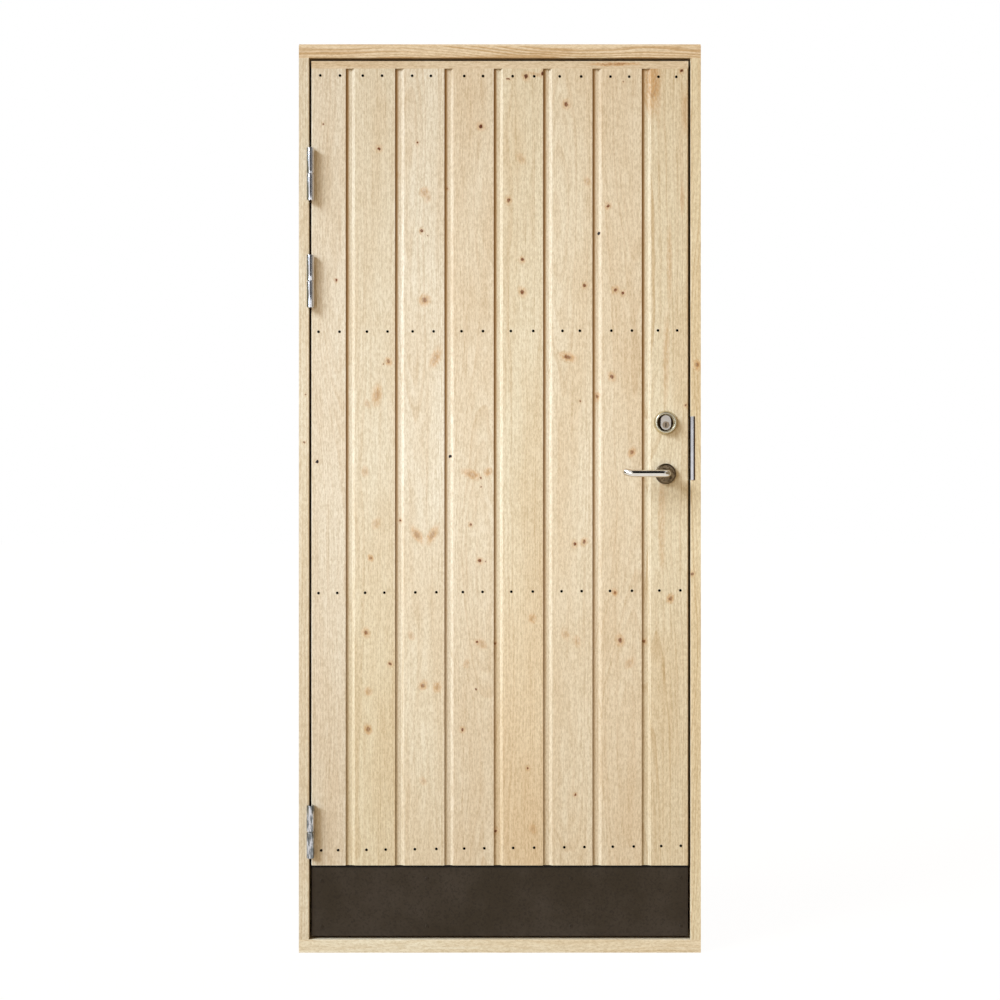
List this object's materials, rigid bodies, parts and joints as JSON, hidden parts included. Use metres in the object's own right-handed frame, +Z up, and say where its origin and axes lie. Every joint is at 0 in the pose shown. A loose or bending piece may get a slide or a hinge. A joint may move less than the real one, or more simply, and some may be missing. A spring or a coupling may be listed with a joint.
{
  "type": "shed door",
  "caption": "Boarded timber shed door hung in its rebated frame on lift-off hinges, opening outwards, with lever handle, cylinder lock and a metal kick plate.",
  "frame": {"origin": "middle of the underside of the sill, half way through the depth of the frame", "axes": "+Z up, +X to the right seen from outside, -Y to the outside, where the leaf opens to"},
  "size_m": [0.88, 0.172, 1.99],
  "materials": {
    "frame_timber": "matte",
    "boarding": "matte",
    "framing": "matte",
    "brown_sheet": "satin",
    "plated_steel": "satin",
    "handle_metal": "polished",
    "nickel": "satin",
    "bolt_metal": "satin"
  },
  "bodies": {
    "frame": {"frame_head": "frame_timber", "sill": "frame_timber", "hinge_jamb": "frame_timber", "lock_jamb": "frame_timber", "strike_plate": "plated_steel", "hinge_upper_frame_half": "plated_steel", "hinge_middle_frame_half": "plated_steel", "hinge_lower_frame_half": "plated_steel"},
    "leaf": {"plank_1": "boarding", "plank_2": "boarding", "plank_3": "boarding", "plank_4": "boarding", "plank_5": "boarding", "plank_6": "boarding", "plank_7": "boarding", "plank_8": "boarding", "top_strip": "boarding", "hinge_stile": "framing", "lock_stile": "framing", "top_rail": "framing", "upper_rail": "framing", "lower_rail": "framing", "bottom_rail": "framing", "kick_board": "framing", "kick_plate": "brown_sheet", "hinge_upper_leaf_half": "plated_steel", "hinge_middle_leaf_half": "plated_steel", "hinge_lower_leaf_half": "plated_steel", "lock_faceplate": "plated_steel", "latch_bolt": "bolt_metal", "dead_bolt": "bolt_metal", "front_rose": "handle_metal", "back_rose": "handle_metal", "front_cylinder_ring": "nickel", "back_cylinder_ring": "nickel", "front_cylinder": "nickel", "back_cylinder": "nickel", "front_plug": "nickel", "back_plug": "nickel"},
    "lever": {"front_lever": "handle_metal", "back_lever": "handle_metal", "lever_spindle": "plated_steel"}
  },
  "joints": [
    {"name": "leaf_swing", "type": "hinge", "parent": "frame", "child": "leaf", "pos_m": [-0.4135, -0.055, 0.995], "axis": [0, 0, -1], "range_deg": [0, 170]},
    {"name": "lever_turn", "type": "hinge", "parent": "leaf", "child": "lever", "pos_m": [0.3625, -0.018, 1.048], "axis": [0, -1, 0], "range_deg": [0, 45], "stiffness_Nm_per_rad": 2, "springref_deg": -28.65}
  ]
}
